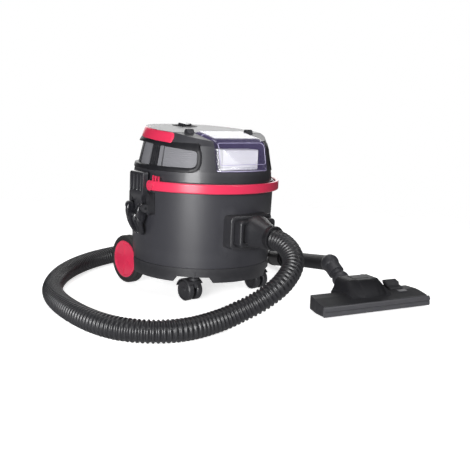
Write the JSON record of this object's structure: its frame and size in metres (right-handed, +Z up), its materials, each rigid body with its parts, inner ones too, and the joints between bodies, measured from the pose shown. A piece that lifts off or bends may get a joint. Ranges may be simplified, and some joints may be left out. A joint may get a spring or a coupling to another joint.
{
  "type": "drum vacuum cleaner",
  "caption": "Round drum vacuum cleaner on wheels with lift-off head, side latches, bail, clear filter cover, ribbed hose, bent hand tube and floor tool.",
  "frame": {"origin": "on the floor, in the plane of symmetry, halfway between the front of the inlet's neck and the back of the rear wheels; the drum's axis is 19 mm behind it", "axes": "+Z up, the inlet faces -Y, the latches are at -X and +X"},
  "size_m": [0.767, 0.7854, 0.3837],
  "materials": {
    "tank_plastic": "satin, fine grain",
    "head_plastic": "semi-gloss",
    "black_plastic": "satin",
    "gloss_black": "glossy",
    "hose_plastic": "glossy ribs",
    "wheel_plastic": "satin",
    "red_plastic": "semi-gloss",
    "grey_plastic": "satin",
    "clear_plastic": "clear, slightly violet",
    "seal_rubber": "matte",
    "bumper_rubber": "matte",
    "tyre": "matte",
    "steel": "brushed",
    "motor_metal": "cast",
    "filter_paper": "pleated paper",
    "filter_cloth": "pleated cloth",
    "bristle": "bristle"
  },
  "bodies": {
    "tank": {"drum": "tank_plastic", "base_tray": "black_plastic", "rear_axle": "steel", "axle_washers": "steel", "inlet_flange": "tank_plastic", "inlet_gasket": "seal_rubber", "inlet_screws": "steel", "inlet_deflector": "black_plastic", "latch_bracket_left": "black_plastic", "latch_bracket_right": "black_plastic", "latch_pins": "steel", "bail_pins": "black_plastic", "hose_connector": "hose_plastic", "hose": "hose_plastic", "hose_cuff": "hose_plastic", "hand_tube": "gloss_black", "tube_elbow": "hose_plastic"},
    "wheel_left": {"tyre_left": "tyre", "rim_left": "black_plastic", "hub_cap_left": "red_plastic"},
    "wheel_right": {"tyre_right": "tyre", "rim_right": "black_plastic", "hub_cap_right": "red_plastic"},
    "caster_left": {"caster_fork_left": "black_plastic", "caster_axle_left": "steel"},
    "caster_left_pair": {"caster_wheels_left": "wheel_plastic"},
    "caster_right": {"caster_fork_right": "black_plastic", "caster_axle_right": "steel"},
    "caster_right_pair": {"caster_wheels_right": "wheel_plastic"},
    "bail": {"bail_handle": "red_plastic"},
    "lever_left": {"latch_lever_left": "gloss_black"},
    "hook_left": {"latch_hook_left": "black_plastic"},
    "lever_right": {"latch_lever_right": "gloss_black"},
    "hook_right": {"latch_hook_right": "black_plastic"},
    "head": {"head_base": "head_plastic", "rim_seal": "seal_rubber", "head_shell": "head_plastic", "vent_panel_left": "grey_plastic", "vent_panel_right": "grey_plastic", "side_grip_left": "red_plastic", "side_grip_right": "red_plastic", "motor_body": "motor_metal", "float_cage": "black_plastic", "cartridge_filter": "filter_paper", "filter_retainer": "black_plastic", "cable_gland": "seal_rubber", "head_screws": "steel", "exhaust_filter": "filter_cloth", "switch_bezel": "gloss_black"},
    "cover": {"filter_cover": "clear_plastic"},
    "rocker": {"switch_rocker": "red_plastic"},
    "fan": {"motor_fan": "motor_metal"},
    "float": {"float_ball": "grey_plastic"},
    "neck": {"tool_neck": "gloss_black"},
    "tool": {"tool_body": "gloss_black", "tool_sole": "black_plastic", "tool_bumper": "bumper_rubber"},
    "pedal": {"tool_pedal": "black_plastic"},
    "brushes": {"tool_brushes": "bristle"},
    "rollers": {"tool_rollers": "grey_plastic"}
  },
  "joints": [
    {"name": "wheel_left_spin", "type": "hinge", "parent": "tank", "child": "wheel_left", "pos_m": [-0.126, 0.137, 0.057], "axis": [1, 0, 0], "continuous": true},
    {"name": "wheel_right_spin", "type": "hinge", "parent": "tank", "child": "wheel_right", "pos_m": [0.126, 0.137, 0.057], "axis": [1, 0, 0], "continuous": true},
    {"name": "caster_left_swivel", "type": "hinge", "parent": "tank", "child": "caster_left", "pos_m": [-0.099, -0.085, 0.05], "axis": [0, 0, 1], "continuous": true},
    {"name": "caster_left_roll", "type": "hinge", "parent": "caster_left", "child": "caster_left_pair", "pos_m": [-0.099, -0.073, 0.023], "axis": [1, 0, 0], "continuous": true},
    {"name": "caster_right_swivel", "type": "hinge", "parent": "tank", "child": "caster_right", "pos_m": [0.099, -0.085, 0.05], "axis": [0, 0, 1], "continuous": true},
    {"name": "caster_right_roll", "type": "hinge", "parent": "caster_right", "child": "caster_right_pair", "pos_m": [0.099, -0.073, 0.023], "axis": [1, 0, 0], "continuous": true},
    {"name": "bail_swing", "type": "hinge", "parent": "tank", "child": "bail", "pos_m": [0, -0.016, 0.252], "axis": [-1, 0, 0], "range_deg": [0, 9]},
    {"name": "lever_left_turn", "type": "hinge", "parent": "tank", "child": "lever_left", "pos_m": [-0.17789, 0.02521, 0.201], "axis": [0.0349, 0.9994, 0], "range_deg": [0, 90]},
    {"name": "hook_left_turn", "type": "hinge", "parent": "lever_left", "child": "hook_left", "pos_m": [-0.17559, 0.02513, 0.1923], "axis": [0.0349, 0.9994, 0], "range_deg": [-90, 0]},
    {"name": "lever_right_turn", "type": "hinge", "parent": "tank", "child": "lever_right", "pos_m": [0.17789, 0.02521, 0.201], "axis": [0.0349, -0.9994, 0], "range_deg": [0, 90]},
    {"name": "hook_right_turn", "type": "hinge", "parent": "lever_right", "child": "hook_right", "pos_m": [0.17559, 0.02513, 0.1923], "axis": [0.0349, -0.9994, 0], "range_deg": [-90, 0]},
    {"name": "head_lift", "type": "slide", "parent": "tank", "child": "head", "axis": [0, 0, 1], "range_m": [0, 0.2]},
    {"name": "cover_open", "type": "hinge", "parent": "head", "child": "cover", "pos_m": [0, -0.037, 0.369], "axis": [-1, 0, 0], "range_deg": [0, 80]},
    {"name": "rocker_tip", "type": "hinge", "parent": "head", "child": "rocker", "pos_m": [0, 0.095, 0.37669], "axis": [0, 0.9973, 0.0732], "range_deg": [-5, 5]},
    {"name": "fan_spin", "type": "hinge", "parent": "head", "child": "fan", "pos_m": [0, 0.019, 0.288], "axis": [0, 0, 1], "continuous": true},
    {"name": "float_rise", "type": "slide", "parent": "head", "child": "float", "axis": [0, 0, 1], "range_m": [0, 0.014]},
    {"name": "neck_swivel", "type": "hinge", "parent": "tank", "child": "neck", "pos_m": [0.21234, -0.24138, 0.042], "axis": [0.1864, 0.8273, 0.5299], "range_deg": [-40, 40]},
    {"name": "tool_tilt", "type": "hinge", "parent": "neck", "child": "tool", "pos_m": [0.20047, -0.29406, 0.036], "axis": [0.9755, -0.2198, 0], "range_deg": [-20, 0]},
    {"name": "pedal_press", "type": "hinge", "parent": "tool", "child": "pedal", "pos_m": [0.28626, -0.33184, 0.03], "axis": [0.9755, -0.2198, 0], "range_deg": [0, 10]},
    {"name": "brush_lift", "type": "slide", "parent": "tool", "child": "brushes", "axis": [0, 0, 1], "range_m": [0, 0.0051]},
    {"name": "roller_spin", "type": "hinge", "parent": "tool", "child": "rollers", "pos_m": [0.19827, -0.30381, 0.006], "axis": [0.9755, -0.2198, 0], "continuous": true}
  ],
  "couplings": [
    {"joint": "hook_left_turn", "follows": "lever_left_turn", "ratio": -1},
    {"joint": "hook_right_turn", "follows": "lever_right_turn", "ratio": -1},
    {"joint": "brush_lift", "follows": "pedal_press", "m_per_rad": 0.02865}
  ]
}
